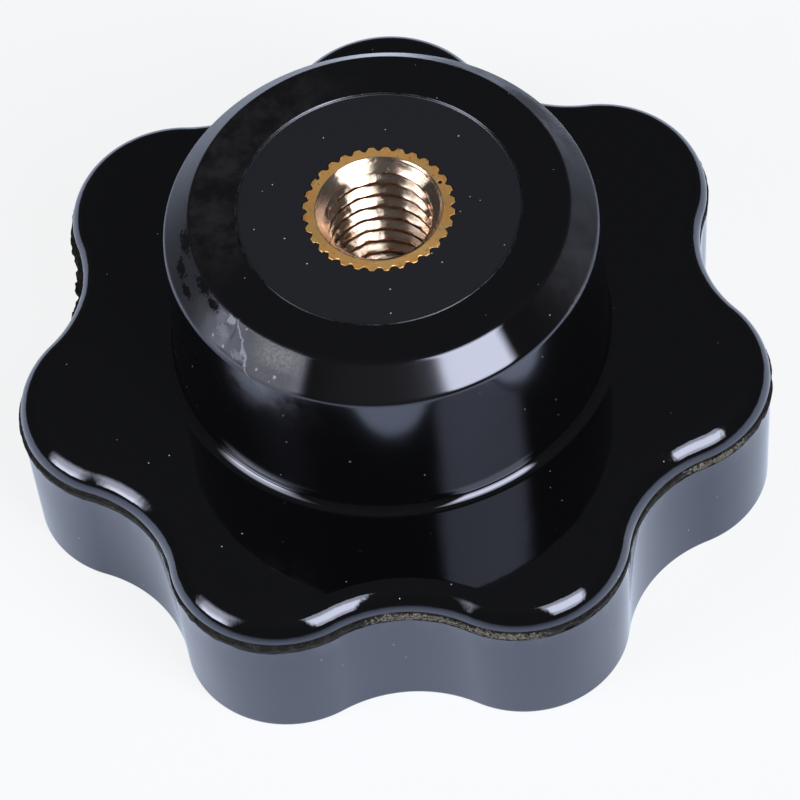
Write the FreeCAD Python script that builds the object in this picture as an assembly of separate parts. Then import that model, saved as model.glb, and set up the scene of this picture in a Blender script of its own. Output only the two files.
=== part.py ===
import FreeCAD, Part
import math
import os

# A seven-lobed star knob, moulded in one piece round a threaded metal bush.
# Millimetres, +Z up along the knob's axis and out of its hub.
# The origin is where the axis meets the flat crown face that the knob rests on.

# Lobed rim, seen from above
LOBE_COUNT = 7
LOBE_TIP_RADIUS = 25.0
VALLEY_DEPTH = 3.8
LOBE_ARC_RADIUS = 7.2
FIRST_LOBE_ANGLE = 90.0

# Rim, seen from the side, from the crown face up to the flange
CROWN_WALL_HEIGHT = 9.3
CROWN_WALL_DRAFT = 2.5
PARTING_BAND_HEIGHT = 0.9
PARTING_BAND_PROUD = 0.2
FLANGE_WALL_HEIGHT = 2.55

# Hub above the flange
HUB_HEIGHT = 13.35
HUB_SHOULDER_RADIUS = 14.05
HUB_DRAFT = 1.3
HUB_ROOT_BEVEL = 0.6
HUB_CHAMFER_WIDTH = 1.85
HUB_CHAMFER_HEIGHT = 2.0

# End of the hub: a flat land inside the chamfer, then a shallow turned seat that is flush with the bush
HUB_LAND_WIDTH = 3.05
SEAT_DEPTH = 0.08

# Threaded bush, metric size 8 by 1.25, from the tapped hole out to the straight knurl
TAPPED_RADIUS = 3.4
COUNTERSINK_WIDTH = 0.7
COUNTERSINK_ANGLE = 90.0
BUSH_FACE_WIDTH = 0.6
KNURL_DEPTH = 0.28
KNURL_COUNT = 32
KNURL_TIP_SHARE = 0.43
KNURL_TURN = 4.6
HOLE_DEPTH = 13.0
DRILL_POINT_ANGLE = 118.0
BUSH_FLOOR_THICKNESS = 1.5

# Radii that follow from the sizes above
HUB_LAND_RADIUS = HUB_SHOULDER_RADIUS - HUB_CHAMFER_WIDTH
SEAT_RADIUS = HUB_LAND_RADIUS - HUB_LAND_WIDTH
COUNTERSINK_RADIUS = TAPPED_RADIUS + COUNTERSINK_WIDTH
KNURL_ROOT_RADIUS = COUNTERSINK_RADIUS + BUSH_FACE_WIDTH
KNURL_TIP_RADIUS = KNURL_ROOT_RADIUS + KNURL_DEPTH

# The flange rounds over all the way down to the parting band
FLANGE_EDGE_RADIUS = FLANGE_WALL_HEIGHT - PARTING_BAND_HEIGHT

# Heights that follow from the sizes above
PARTING_LEVEL = CROWN_WALL_HEIGHT
FLANGE_TOP = PARTING_LEVEL + FLANGE_WALL_HEIGHT
HUB_TOP = FLANGE_TOP + HUB_HEIGHT
SEAT_LEVEL = HUB_TOP - SEAT_DEPTH
HOLE_FLOOR = SEAT_LEVEL - HOLE_DEPTH
DRILL_POINT_LEVEL = HOLE_FLOOR - TAPPED_RADIUS / math.tan(math.radians(DRILL_POINT_ANGLE / 2))
BUSH_BASE = DRILL_POINT_LEVEL - BUSH_FLOOR_THICKNESS

UP = FreeCAD.Vector(0, 0, 1)
AXIS_POINT = FreeCAD.Vector(0, 0, 0)
FULL_TURN = 360.0
LEVEL_TOLERANCE = 1e-4


def polar(radius, angle, height):
    """A point at a radius and an angle in degrees round the knob's axis."""
    turn = math.radians(angle)
    return FreeCAD.Vector(radius * math.cos(turn), radius * math.sin(turn), height)


def valley_arc_radius(tip_radius, floor_radius, lobe_radius):
    """Radius of the hollow arc that is tangent to two neighbouring lobes and reaches down to the floor radius."""
    lobe_centre = tip_radius - lobe_radius
    lean = math.cos(math.pi / LOBE_COUNT)
    gap = lobe_centre**2 + floor_radius**2 - 2 * lobe_centre * floor_radius * lean - lobe_radius**2
    return gap / (2 * (lobe_radius - floor_radius + lobe_centre * lean))


def rim_wire(inset, height):
    """The rim's outline at one height, round lobes and round valleys, moved in everywhere by the same inset."""
    tip_radius = LOBE_TIP_RADIUS - inset
    floor_radius = tip_radius - VALLEY_DEPTH
    lobe_radius = LOBE_ARC_RADIUS - inset
    valley_radius = valley_arc_radius(tip_radius, floor_radius, lobe_radius)
    share = lobe_radius / (lobe_radius + valley_radius)
    pitch = FULL_TURN / LOBE_COUNT

    def contact(lobe_angle, side):
        lobe_centre = polar(tip_radius - lobe_radius, lobe_angle, height)
        valley_centre = polar(floor_radius + valley_radius, lobe_angle + side * pitch / 2, height)
        return lobe_centre + (valley_centre - lobe_centre) * share

    edges = []
    for number in range(LOBE_COUNT):
        lobe = FIRST_LOBE_ANGLE + number * pitch
        before = contact(lobe, -1)
        after = contact(lobe, 1)
        onward = contact(lobe + pitch, -1)
        tip = polar(tip_radius, lobe, height)
        floor = polar(floor_radius, lobe + pitch / 2, height)
        edges.append(Part.Arc(before, tip, after).toShape())
        edges.append(Part.Arc(after, floor, onward).toShape())
    return Part.Wire(edges)


def knurled_wire(height):
    """The bush's outline at one height: straight-sided teeth with narrow flat tips and sharp grooves between them."""
    pitch = FULL_TURN / KNURL_COUNT
    half_groove = pitch * (1 - KNURL_TIP_SHARE) / 2
    points = []
    for number in range(KNURL_COUNT):
        tooth = FIRST_LOBE_ANGLE + KNURL_TURN + number * pitch
        groove = tooth + pitch / 2
        points.append(polar(KNURL_TIP_RADIUS, groove - half_groove, height))
        points.append(polar(KNURL_ROOT_RADIUS, groove, height))
        points.append(polar(KNURL_TIP_RADIUS, groove + half_groove, height))
    return Part.makePolygon(points + points[:1])


def edges_at(shape, height):
    """The edges that lie level at one height."""
    return [
        edge
        for edge in shape.Edges
        if abs(edge.BoundBox.ZMin - height) < LEVEL_TOLERANCE and abs(edge.BoundBox.ZMax - height) < LEVEL_TOLERANCE
    ]


def crown_wall():
    """The gripping wall below the parting line, drafted towards the crown."""
    draft_inset = CROWN_WALL_HEIGHT * math.tan(math.radians(CROWN_WALL_DRAFT))
    wires = [rim_wire(draft_inset, 0), rim_wire(0, PARTING_LEVEL)]
    return Part.makeLoft(wires, True, True)


def parting_band():
    """The narrow band that stands proud where the two halves of the mould met."""
    return Part.Face(rim_wire(-PARTING_BAND_PROUD, PARTING_LEVEL)).extrude(UP * PARTING_BAND_HEIGHT)


def flange_wall():
    """The flange above the parting line, its edge rounded over from the parting band to the flat."""
    wall = Part.Face(rim_wire(0, PARTING_LEVEL)).extrude(UP * FLANGE_WALL_HEIGHT)
    return wall.makeFillet(FLANGE_EDGE_RADIUS, edges_at(wall, FLANGE_TOP))


def revolved(corners):
    """A solid of revolution from corners given as radius and height."""
    points = [FreeCAD.Vector(radius, 0, height) for radius, height in corners]
    profile = Part.Face(Part.makePolygon(points + points[:1]))
    return profile.revolve(AXIS_POINT, UP, FULL_TURN)


def hub():
    """The drafted round hub with its broad chamfer and the turned seat in its end."""
    shoulder_level = HUB_TOP - HUB_CHAMFER_HEIGHT
    wall_height = shoulder_level - FLANGE_TOP - HUB_ROOT_BEVEL
    root_radius = HUB_SHOULDER_RADIUS + wall_height * math.tan(math.radians(HUB_DRAFT))
    return revolved(
        [
            (0, PARTING_LEVEL),
            (root_radius + HUB_ROOT_BEVEL, PARTING_LEVEL),
            (root_radius + HUB_ROOT_BEVEL, FLANGE_TOP),
            (root_radius, FLANGE_TOP + HUB_ROOT_BEVEL),
            (HUB_SHOULDER_RADIUS, shoulder_level),
            (HUB_LAND_RADIUS, HUB_TOP),
            (SEAT_RADIUS, HUB_TOP),
            (SEAT_RADIUS, SEAT_LEVEL),
            (0, SEAT_LEVEL),
        ]
    )


def bush_blank():
    """The knurled outside of the bush, before it is bored."""
    return Part.Face(knurled_wire(BUSH_BASE)).extrude(UP * (SEAT_LEVEL - BUSH_BASE))


def tapped_hole():
    """The blind hole: countersunk mouth, straight wall at the thread's crests and drilled point."""
    mouth_depth = COUNTERSINK_WIDTH / math.tan(math.radians(COUNTERSINK_ANGLE / 2))
    return revolved(
        [
            (0, DRILL_POINT_LEVEL),
            (TAPPED_RADIUS, HOLE_FLOOR),
            (TAPPED_RADIUS, SEAT_LEVEL - mouth_depth),
            (COUNTERSINK_RADIUS, SEAT_LEVEL),
            (0, SEAT_LEVEL),
        ]
    )


def threaded_insert():
    """The threaded bush."""
    return bush_blank().cut(tapped_hole())


def knob_body():
    """The moulded knob, with the pocket that its material formed round the bush."""
    solid = crown_wall().fuse([parting_band(), flange_wall(), hub()])
    return solid.removeSplitter().cut(bush_blank())


NODES = {
    "knob_body": knob_body,
    "threaded_insert": threaded_insert,
}

os.makedirs("parts", exist_ok=True)
for name, build in NODES.items():
    shape = build()
    print(name, "valid", shape.isValid(), "solids", len(shape.Solids), "volume", round(shape.Volume, 2))
    shape.exportStep("parts/" + name + ".step")
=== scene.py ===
# %% [markdown]
# # A moulded star knob with a tapped metal bush
#
# The knob is a clamping handle: a hand turns its seven lobes, and a stud screws into the bush in its hub.
# It was pressed in one go from black thermoset resin round a bush of yellow metal, so it is only two
# pieces. The packed CAD model gives their place and size. Here each of them gets a finer mesh and a real
# finish.

# %% Load the packed model
import math

import bpy
import numpy as np
from mathutils import Matrix, Vector, noise


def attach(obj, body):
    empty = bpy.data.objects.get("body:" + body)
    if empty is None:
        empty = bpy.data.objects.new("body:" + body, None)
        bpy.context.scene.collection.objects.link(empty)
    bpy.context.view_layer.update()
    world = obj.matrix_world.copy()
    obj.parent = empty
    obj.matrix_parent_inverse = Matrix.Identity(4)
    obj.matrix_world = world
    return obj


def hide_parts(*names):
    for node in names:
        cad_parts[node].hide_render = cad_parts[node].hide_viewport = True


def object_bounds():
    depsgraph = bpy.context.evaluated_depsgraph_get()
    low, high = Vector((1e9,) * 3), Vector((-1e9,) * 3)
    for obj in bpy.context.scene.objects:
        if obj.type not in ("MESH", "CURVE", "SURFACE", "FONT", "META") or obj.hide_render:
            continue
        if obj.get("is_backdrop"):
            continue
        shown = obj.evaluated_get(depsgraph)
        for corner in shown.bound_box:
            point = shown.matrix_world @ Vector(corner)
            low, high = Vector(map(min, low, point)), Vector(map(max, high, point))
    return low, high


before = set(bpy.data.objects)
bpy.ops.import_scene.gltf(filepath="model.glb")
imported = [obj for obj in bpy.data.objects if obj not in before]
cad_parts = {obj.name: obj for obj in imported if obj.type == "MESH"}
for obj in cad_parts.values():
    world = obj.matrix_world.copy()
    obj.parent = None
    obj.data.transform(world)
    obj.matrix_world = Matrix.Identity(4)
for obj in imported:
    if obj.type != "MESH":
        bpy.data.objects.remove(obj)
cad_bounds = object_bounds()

MM = 0.001
print("CAD box in mm", [[round(c / MM, 2) for c in corner] for corner in cad_bounds])

# %% [markdown]
# ## Where the camera stands
#
# The picture was taken with a long lens from well above the knob, a little to the right of one hollow of
# its rim, and with the camera slightly rolled. A camera fitted to the ellipses of the hub and the bush
# gives the numbers below. The point where the axis meets the table doesn't fall in the middle of the
# picture, so the camera is turned a little after it has been aimed, which keeps the lens shift at
# nothing.

# %% Camera
CAMERA_AZIMUTH = -86.35
CAMERA_ELEVATION = 55.125
CAMERA_DISTANCE = 516.69 * MM
CAMERA_ROLL = 6.149
PICTURE = 800
FOCAL_PIXELS = 7745.7
ORIGIN_IN_PICTURE = (402.90, 431.40)
SENSOR = 36.0
CLIP_START = 10 * MM


def direction(azimuth, elevation):
    """The unit vector that points to an azimuth and elevation in degrees."""
    a = math.radians(azimuth)
    e = math.radians(elevation)
    return Vector((math.cos(e) * math.cos(a), math.cos(e) * math.sin(a), math.sin(e)))


stand = direction(CAMERA_AZIMUTH, CAMERA_ELEVATION)
sideways = Vector((0, 0, 1)).cross(stand).normalized()
aim = Matrix((sideways, stand.cross(sideways), stand)).transposed()
off_centre = Vector(
    (
        (ORIGIN_IN_PICTURE[0] - PICTURE / 2) / FOCAL_PIXELS,
        (PICTURE / 2 - ORIGIN_IN_PICTURE[1]) / FOCAL_PIXELS,
        -1,
    )
)
turn = Vector((0, 0, -1)).rotation_difference(off_centre).to_matrix()
roll = Matrix.Rotation(math.radians(CAMERA_ROLL), 3, "Z")
camera_data = bpy.data.cameras.new("photo_camera")
camera_data.sensor_width = SENSOR
camera_data.lens = FOCAL_PIXELS * SENSOR / PICTURE
camera_data.clip_start = CLIP_START
camera = bpy.data.objects.new("photo_camera", camera_data)
bpy.context.scene.collection.objects.link(camera)
facing_knob = aim @ (turn @ roll).transposed()
camera.matrix_world = Matrix.Translation(stand * CAMERA_DISTANCE) @ facing_knob.to_4x4()
bpy.context.scene.camera = camera
print("lens mm", round(camera_data.lens, 1), "camera at mm", [round(c / MM, 1) for c in camera.location])

# %% [markdown]
# ## One way to write shaders
#
# A finish is a small sum over masks: the colour of the resin, plus dust where there is dust, and so on.
# Blender keeps such sums as nodes. The little class below wraps a socket so that the sum can be written
# as a Python expression, and each operator adds its Math node. The reflected ones let `1.0 - mask` work.

# %% A socket as a number
class Reading:
    """A number that changes from place to place: one output socket of a node tree."""

    def __init__(self, tree, socket):
        self.tree = tree
        self.socket = socket

    def maths(self, operation, *others):
        return self.tree.node("ShaderNodeMath", {"operation": operation}, [self, *others])

    def __add__(self, other):
        return self.maths("ADD", other)

    def __mul__(self, other):
        return self.maths("MULTIPLY", other)

    def __sub__(self, other):
        return self.maths("SUBTRACT", other)

    def __rsub__(self, other):
        return self.tree.node("ShaderNodeMath", {"operation": "SUBTRACT"}, [other, self])

    def __truediv__(self, other):
        return self.maths("DIVIDE", other)

    __radd__ = __add__
    __rmul__ = __mul__

    def between(self, low, high):
        """0 where the reading is at low and 1 where it is at high, with a soft rise between."""
        limits = {"Value": self, "From Min": low, "From Max": high}
        return self.tree.node("ShaderNodeMapRange", {"interpolation_type": "SMOOTHSTEP"}, limits)


print("a reading also takes", sorted(name for name in vars(Reading) if name.startswith("__r")))

# %% [markdown]
# ## A node tree
#
# Materials, lamps and the world all keep a node tree. Every node is added by one method, which sets the
# node's settings first, because some of them change which sockets it has. A colour can't go through a
# Math node, which would turn it grey, so colours have a method of their own that adds a Mix node.

# %% A node tree
class Tree:
    """A node tree of a material, a lamp or the world."""

    def __init__(self, owner):
        owner.use_nodes = True
        self.nodes = owner.node_tree.nodes
        self.links = owner.node_tree.links

    def node(self, kind, settings, inputs, output=0):
        """Adds a node: first its settings, then its sockets, and gives one of its outputs."""
        made = self.nodes.new(kind)
        for name, value in settings.items():
            setattr(made, name, value)
        for key, value in inputs.items() if isinstance(inputs, dict) else enumerate(inputs):
            if isinstance(value, Reading):
                self.links.new(value.socket, made.inputs[key])
            else:
                made.inputs[key].default_value = value
        return Reading(self, made.outputs[output] if len(made.outputs) else None)

    def mix(self, share, one, other):
        """A colour that goes from one to other with the share."""
        return self.node("ShaderNodeMix", {"data_type": "RGBA"}, {0: share, 6: one, 7: other}, 2)


print("a tree offers", [name for name in vars(Tree) if not name.startswith("_")])

# %% [markdown]
# ## A finish
#
# Each of the knob's finishes is one Principled shader with maps that change over the surface. The class
# below starts from that shader. It can say where a point is, as x, y and z or round the knob's axis, which
# suits a turned and moulded thing, and it gives cloudy noise and bumps with sizes in millimetres.

# %% A finish
class Finish(Tree):
    """A procedural material that ends in one Principled shader."""

    def __init__(self, name, **constants):
        self.material = bpy.data.materials.new(name)
        super().__init__(self.material)
        self.shader = self.nodes["Principled BSDF"]
        for socket, value in constants.items():
            self.shader.inputs[socket.replace("_", " ")].default_value = value
        self.place = self.node("ShaderNodeTexCoord", {}, {}, "Object")

    def feed(self, **readings):
        """Links readings to the Principled shader's sockets."""
        for name, reading in readings.items():
            self.links.new(reading.socket, self.shader.inputs[name.replace("_", " ")])

    def noise(self, scale, detail=3.0, roughness=0.5):
        """Cloudy noise from 0 to 1, with this many lumps in a millimetre."""
        inputs = {"Vector": self.place, "Scale": scale / MM, "Detail": detail, "Roughness": roughness}
        return self.node("ShaderNodeTexNoise", {}, inputs, "Fac")

    def axes(self):
        """The place on the object in millimetres, as three readings."""
        split = [self.node("ShaderNodeSeparateXYZ", {}, [self.place], n) for n in range(3)]
        return [part * (1 / MM) for part in split]

    def round_axes(self):
        """Radius in millimetres, azimuth in degrees and height in millimetres."""
        x, y, z = self.axes()
        radius = (x * x + y * y).maths("SQRT")
        azimuth = y.maths("ARCTAN2", x) * math.degrees(1)
        return radius, azimuth, z

    def bump(self, relief):
        """A normal that follows a relief in millimetres."""
        inputs = {"Strength": 1.0, "Distance": MM, "Height": relief}
        return self.node("ShaderNodeBump", {}, inputs, "Normal")


print("a finish adds", [name for name in vars(Finish) if not name.startswith("_")])

# %% [markdown]
# ## The sizes
#
# These are the CAD model's own sizes, in millimetres, with the few that are finer than CAD: the small
# radii of the edges, the rough strip where the two halves of the mould met, and the thread.

# %% Sizes
LOBES = 7
FIRST_LOBE = 90.0
TIP_RADIUS = 25.0
VALLEY_DEPTH = 3.8
LOBE_ARC = 7.2
PARTING = 9.3
DRAFT = math.tan(math.radians(2.5))
CROWN_EDGE = 0.3
STRIP_HEIGHT = 0.9
STRIP_PROUD = 0.2
FLANGE_TOP = 11.85
FLANGE_EDGE = 1.65
HUB_TOP = 25.2
SHOULDER_RADIUS = 14.05
SHOULDER = 23.2
HUB_DRAFT = math.tan(math.radians(1.3))
ROOT_FILLET = 0.76
LAND_RADIUS = 12.2
SEAT_RADIUS = 9.15
SEAT = 25.12
KNURL_TEETH = 32
KNURL_TIP = 4.98
KNURL_ROOT = 4.70
KNURL_TURN = 94.6
CREST = 3.4
THREAD_ROOT = 4.0
PITCH = 1.25
COUNTERSINK = 4.1
HOLE_FLOOR = 12.12
DRILL_POINT = HOLE_FLOOR - CREST / math.tan(math.radians(59))
BUSH_BASE = DRILL_POINT - 1.5
print("the bush runs from", round(BUSH_BASE, 2), "to", SEAT, "mm, and the hub ends at", HUB_TOP, "mm")

# %% [markdown]
# ## The outline of the rim
#
# Seen from above, the rim is round lobes and round hollows, each tangent to the next. Every edge of the
# rim runs parallel to this line, so the line is sampled once, at even steps, with its outward normals,
# and each ring of the mesh is the line moved in along the normals. A curve object could draw it too, but
# it would give no say in where the points fall. Half a lobe and half a hollow are enough to start with.

# %% Half a lobe and half a hollow
COLUMNS_PER_LOBE = 112


def half_outline(steps):
    """Points and normals from a lobe's tip to the floor of the next hollow, round the X axis."""
    half_pitch = math.pi / LOBES
    lobe_centre = TIP_RADIUS - LOBE_ARC
    floor = TIP_RADIUS - VALLEY_DEPTH
    lean = math.cos(half_pitch)
    gap = lobe_centre**2 + floor**2 - 2 * lobe_centre * floor * lean - LOBE_ARC**2
    hollow = gap / (2 * (LOBE_ARC - floor + lobe_centre * lean))
    hollow_centre = (floor + hollow) * np.array([math.cos(half_pitch), math.sin(half_pitch)])
    contact = math.atan2(hollow_centre[1], hollow_centre[0] - lobe_centre)
    lobe_length = LOBE_ARC * contact
    length = lobe_length + hollow * (contact - half_pitch)
    points, normals = [], []
    for run in np.linspace(0, length, steps + 1):
        if run <= lobe_length:
            angle = run / LOBE_ARC
            normal = np.array([math.cos(angle), math.sin(angle)])
            points.append(np.array([lobe_centre, 0]) + LOBE_ARC * normal)
        else:
            angle = contact + math.pi - (run - lobe_length) / hollow
            normal = -np.array([math.cos(angle), math.sin(angle)])
            points.append(hollow_centre - hollow * normal)
        normals.append(normal)
    return np.array(points), np.array(normals)


half_points, half_normals = half_outline(COLUMNS_PER_LOBE // 2)
print("points from tip to hollow", len(half_points))

# %% [markdown]
# ## The whole outline
#
# The half is mirrored and then turned seven times, so all lobes are exactly alike, as the mould's were.
# The hub is round, and its rings use the same columns, each on its own azimuth.

# %% Outline of the rim
def turned(vectors, degrees):
    """Rows of 2-D vectors, turned round the origin."""
    a = math.radians(degrees)
    return vectors @ np.array([[math.cos(a), math.sin(a)], [-math.sin(a), math.cos(a)]])


mirror = np.array([1, -1])
lobe_points = np.vstack([half_points, turned(half_points[-2:0:-1] * mirror, 360 / LOBES)])
lobe_normals = np.vstack([half_normals, turned(half_normals[-2:0:-1] * mirror, 360 / LOBES)])
lobe_angles = [FIRST_LOBE + n * 360 / LOBES for n in range(LOBES)]
OUTLINE = np.vstack([turned(lobe_points, angle) for angle in lobe_angles])
NORMALS = np.vstack([turned(lobe_normals, angle) for angle in lobe_angles])
AZIMUTH = np.degrees(np.arctan2(OUTLINE[:, 1], OUTLINE[:, 0]))
ROUND = OUTLINE / np.linalg.norm(OUTLINE, axis=1)[:, None]
print("columns", len(OUTLINE), "widest radius", round(float(np.linalg.norm(OUTLINE, axis=1).max()), 3))

# %% [markdown]
# ## Rings and arcs
#
# The skin of the knob is built as rings, one above or inside another, like the rings of a vase. A ring on
# the rim follows the lobes and a ring on the hub is a circle. Rounded edges are short arcs in the
# section.

# %% Rings and arcs
def rim_ring(inset, height):
    """The rim's outline moved in by an inset."""
    return np.column_stack([OUTLINE - inset * NORMALS, np.full(len(OUTLINE), height)])


def round_ring(radius, height):
    """A circle on the same columns."""
    return np.column_stack([ROUND * radius, np.full(len(OUTLINE), height)])


def arc(centre, radius, start, stop, steps):
    """Points on an arc in a section: pairs of distance and height, angles in degrees."""
    angles = np.radians(np.linspace(start, stop, steps + 1))
    return [(centre[0] + radius * math.cos(a), centre[1] + radius * math.sin(a)) for a in angles]


ring_points = len(rim_ring(0, 0))
print("points in a ring", ring_points, "and in a short arc", len(arc((0, 0), CROWN_EDGE, 270, 180, 6)))

# %% [markdown]
# ## The strip where the mould closed
#
# Resin squeezes out between the two halves of a mould and leaves a thin fin, the flash. It is ground off
# roughly, so the rim has a dull strip all round at one height, pale and speckled where the grinding went
# deep, and a dark ragged groove above it, whose shade is also painted into the colour. One hollow still has a
# ragged fin. Noise alone would spread all this evenly, so each mark is placed by its azimuth, and noise only
# breaks its edges.

# %% Marks round the rim
def away(azimuth, centre):
    """Degrees between azimuths and a centre, the short way round."""
    return (np.asarray(azimuth) - centre + 180) % 360 - 180


def hump(azimuth, centre, spread):
    """1 at a centre and falling softly to 0 past a spread in degrees."""
    return np.exp(-((away(azimuth, centre) / spread) ** 2) ** 2)


def grain(points, size, seed=0.0):
    """Noise from -1 to 1 at rows of points in millimetres, with lumps of a size."""
    return np.array([noise.noise(Vector(p) / size + Vector((seed, 2 * seed, 3 * seed))) for p in points])


def along_rim(*places):
    """Marks from 0 to 1 on every column: each place is an azimuth, a spread in degrees and a strength."""
    return np.clip(sum(strength * hump(AZIMUTH, centre, spread) for centre, spread, strength in places), 0, 1)


GROUND_DEEP = ((-82, 17, 1), (-26, 7, 0.9), (-55, 9, 0.45), (62, 12, 0.5), (118, 16, 0.4), (13, 10, 0.6))
CHIPS = ((-13, 6, 1), (-123, 3, 0.8), (-62, 8, 0.7), (-112, 9, 0.5))
FIN = (163, 9.5, 1)

in_hollow = 0.5 - 0.5 * np.cos(np.radians(LOBES * (AZIMUTH - FIRST_LOBE)))
ground_light = along_rim(*GROUND_DEEP)
proud = np.clip(1 - 0.7 * in_hollow - 0.8 * ground_light, 0, 1)
fin_left = along_rim(FIN)
chipped = along_rim(*CHIPS)
print("ground deep on", round(float((ground_light > 0.4).mean()), 2), "of the rim")

# %% [markdown]
# ## The section of the knob
#
# The whole moulding is one skin: from the middle of the crown out to its rounded edge, up the drafted
# grip, over the strip and the round-over, in across the flange, up the hub and over its chamfer to the
# seat. It could be solids joined by booleans, but those leave ragged faces that a gloss surface shows at
# once. Each corner has the radius that the mould gave it, because gloss shows edges by their highlights.
# The grip comes first, a few thousandths of a millimetre within the CAD surface, so that no point stands
# outside it.

# %% Rows of the crown and the grip
WITHIN = 0.005
rings = []


def add(ring):
    rings.append(ring)
    return len(rings) - 1


crown_inset = (PARTING - CROWN_EDGE) * DRAFT + WITHIN
crown_corner = rim_ring(crown_inset + CROWN_EDGE, 0)
for share in (0.35, 0.7, 0.93):
    add(crown_corner * [share, share, 1])
for depth, height in arc((CROWN_EDGE, CROWN_EDGE), CROWN_EDGE, 270, 180, 6):
    add(rim_ring(crown_inset + depth, height))
for height in np.linspace(CROWN_EDGE + 0.1, PARTING - 0.1, 7):
    add(rim_ring((PARTING - height) * DRAFT + WITHIN, height))
add(rim_ring(WITHIN, PARTING - WITHIN))
print("rows of the crown and the grip", len(rings))

# %% [markdown]
# ## Rows of the strip and the round-over
#
# The strip needs many close rows, because it is broken up later. A narrow groove runs along its top,
# where the fin tore away from the upper half, and from there the flange rounds over to its flat.

# %% Rows of the strip and the round-over
STRIP_ROWS = 13
GROOVE = ((0.13, -0.006), (0.11, 0.03))
strip_top = PARTING + STRIP_HEIGHT
strip_rows = [add(rim_ring(WITHIN, PARTING + 0.004))]
for height in np.linspace(PARTING + 0.012, strip_top - 0.012, STRIP_ROWS):
    strip_rows.append(add(rim_ring(-STRIP_PROUD + 0.012, height)))
groove_rows = [add(rim_ring(deep, strip_top + up)) for deep, up in GROOVE]
for out, up in arc((0, strip_top), FLANGE_EDGE, 2, 90, 18):
    add(rim_ring(FLANGE_EDGE - out + WITHIN, up))
print("rows up to the flange", len(rings))

# %% [markdown]
# ## Rows of the flange and the hub's wall
#
# The flange's flat goes from the lobed line to a circle, so each row is a blend of the two. A small
# fillet leads up into the wall, which leans in a little so that the moulding left its mould.

# %% Rows of the flange and the hub's wall
flange_outside = rim_ring(FLANGE_EDGE + 0.08, FLANGE_TOP)
root_radius = SHOULDER_RADIUS + (SHOULDER - FLANGE_TOP - ROOT_FILLET) * HUB_DRAFT
fillet_centre = (root_radius + ROOT_FILLET, FLANGE_TOP + ROOT_FILLET)
flange_inside = round_ring(fillet_centre[0] + 0.08, FLANGE_TOP)
for share in np.linspace(0, 1, 8):
    add(flange_outside * (1 - share) + flange_inside * share)
for radius, height in arc(fillet_centre, ROOT_FILLET, 270, 180, 10):
    add(round_ring(radius, height))
for height in np.linspace(fillet_centre[1] + 0.1, SHOULDER - 0.4, 8):
    add(round_ring(SHOULDER_RADIUS + (SHOULDER - height) * HUB_DRAFT, height))
print("rows up to the chamfer", len(rings))

# %% [markdown]
# ## The chamfer, the land and the seat
#
# The hub ends in a broad chamfer with soft edges. Inside it lies a flat land, then a scribed ring, and
# inside the ring the turned seat, a hair lower. A Bevel modifier could round the edges, but on a skin
# with so many columns it is quicker and steadier to work out each corner's arc in the section.

# %% A rounded corner in the section
def blended_corner(corner, before, after, radius, steps):
    """Points on the arc that rounds a corner between two directions of travel, given in degrees."""
    bend = math.radians(after - before)
    reach = radius * math.tan(abs(bend) / 2)
    a = math.radians(before)
    side = math.copysign(1, bend)
    start = (corner[0] - reach * math.cos(a), corner[1] - reach * math.sin(a))
    centre = (start[0] - side * radius * math.sin(a), start[1] + side * radius * math.cos(a))
    return arc(centre, radius, before - side * 90, after - side * 90, steps)


SHOULDER_BLEND = 0.6
LAND_BLEND = 0.6
BLEND_STEPS = 7
chamfer_angle = math.atan2(HUB_TOP - SHOULDER, SHOULDER_RADIUS - LAND_RADIUS)
wall_heading = 90 + math.degrees(math.atan(HUB_DRAFT))
chamfer_heading = 180 - math.degrees(chamfer_angle)
shoulder = (SHOULDER_RADIUS, SHOULDER)
shoulder_points = blended_corner(shoulder, wall_heading, chamfer_heading, SHOULDER_BLEND, BLEND_STEPS)
land_points = blended_corner((LAND_RADIUS, HUB_TOP), chamfer_heading, 180, LAND_BLEND, BLEND_STEPS)
print("the chamfer leans", round(math.degrees(chamfer_angle), 1), "degrees")

# %% [markdown]
# ## Rows of the hub's end
#
# The chamfer has rows close enough to take a dent. The scribed ring is a groove a twentieth of a
# millimetre deep with a small step down to the seat: six rows, given by how far outside the seat they lie
# and how far down.

# %% Rows of the hub's end
CHAMFER_ROWS = 13
SEAT_INNER_RING = 7.2
SCRIBE = ((0.16, 0.0), (0.11, 0.0), (0.055, -0.055), (0.0, -0.02), (-0.05, -0.08), (-0.1, -0.08))
for radius, height in shoulder_points:
    add(round_ring(radius, height))
low, high = np.array(shoulder_points[-1]), np.array(land_points[0])
chamfer_rows = []
for share in np.linspace(0.03, 0.97, CHAMFER_ROWS):
    chamfer_rows.append(add(round_ring(*(low + share * (high - low)))))
for radius, height in land_points:
    add(round_ring(radius, height))
for radius in (LAND_RADIUS - 0.3, 10.6, 9.45):
    add(round_ring(radius, HUB_TOP))
for out, down in SCRIBE:
    add(round_ring(SEAT_RADIUS + out, HUB_TOP + down))
add(round_ring(SEAT_INNER_RING, SEAT))
skin = np.array(rings)
print("rows", len(rings), "points", skin.shape[0] * skin.shape[1])
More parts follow.
